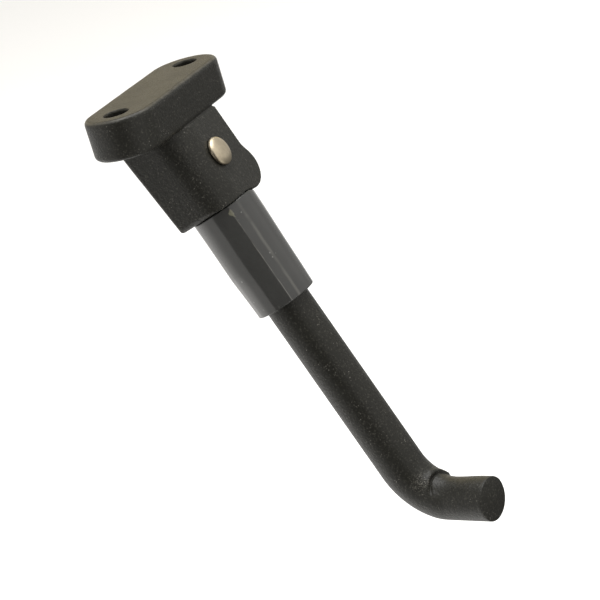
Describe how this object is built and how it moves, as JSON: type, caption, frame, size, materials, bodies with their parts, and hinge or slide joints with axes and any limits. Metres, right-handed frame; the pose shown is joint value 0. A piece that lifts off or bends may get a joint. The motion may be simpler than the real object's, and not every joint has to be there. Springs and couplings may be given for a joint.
{
  "type": "side kickstand",
  "caption": "Folding side kickstand: a cast screw-on bracket carries a bent round-bar leg on a riveted pivot, held by a sprung collar under a soft tapered sleeve.",
  "frame": {"origin": "centre of the flange's flat mounting face, midway between the screw holes", "axes": "+Z out of the mounting face towards the deck it is screwed to, +X along the flange towards the housing's closed back, +Y outward, the way the leg leans"},
  "size_m": [0.056, 0.0745, 0.129],
  "materials": {
    "black_coat": "fine textured powder coat, satin",
    "sleeve_vinyl": "glossy soft vinyl",
    "rivet_steel": "satin, slightly warm",
    "zinc_steel": "zinc plated",
    "spring_steel": "oiled spring wire",
    "bush_bronze": "sintered bronze"
  },
  "bodies": {
    "bracket": {"mount_bracket": "black_coat", "pivot_rivet": "rivet_steel", "rivet_washer": "zinc_steel"},
    "leg": {"leg": "black_coat", "pivot_bush": "bush_bronze", "thrust_washer_outer": "zinc_steel", "thrust_washer_inner": "zinc_steel", "return_spring": "spring_steel", "spring_seat": "zinc_steel"},
    "collar": {"cam_collar": "zinc_steel", "spring_sleeve": "sleeve_vinyl"}
  },
  "joints": [
    {"name": "leg_fold", "type": "hinge", "parent": "bracket", "child": "leg", "pos_m": [0, 0.0051, -0.023], "axis": [0, 0.9367, 0.3502], "range_deg": [0, 90], "deforming": ["spring_sleeve"]},
    {"name": "collar_slide", "type": "slide", "parent": "leg", "child": "collar", "axis": [0, 0.3502, -0.9367], "range_m": [0, 0.0025], "stiffness_N_per_m": 5000, "springref_m": -0.003, "deforming": ["return_spring"]}
  ]
}
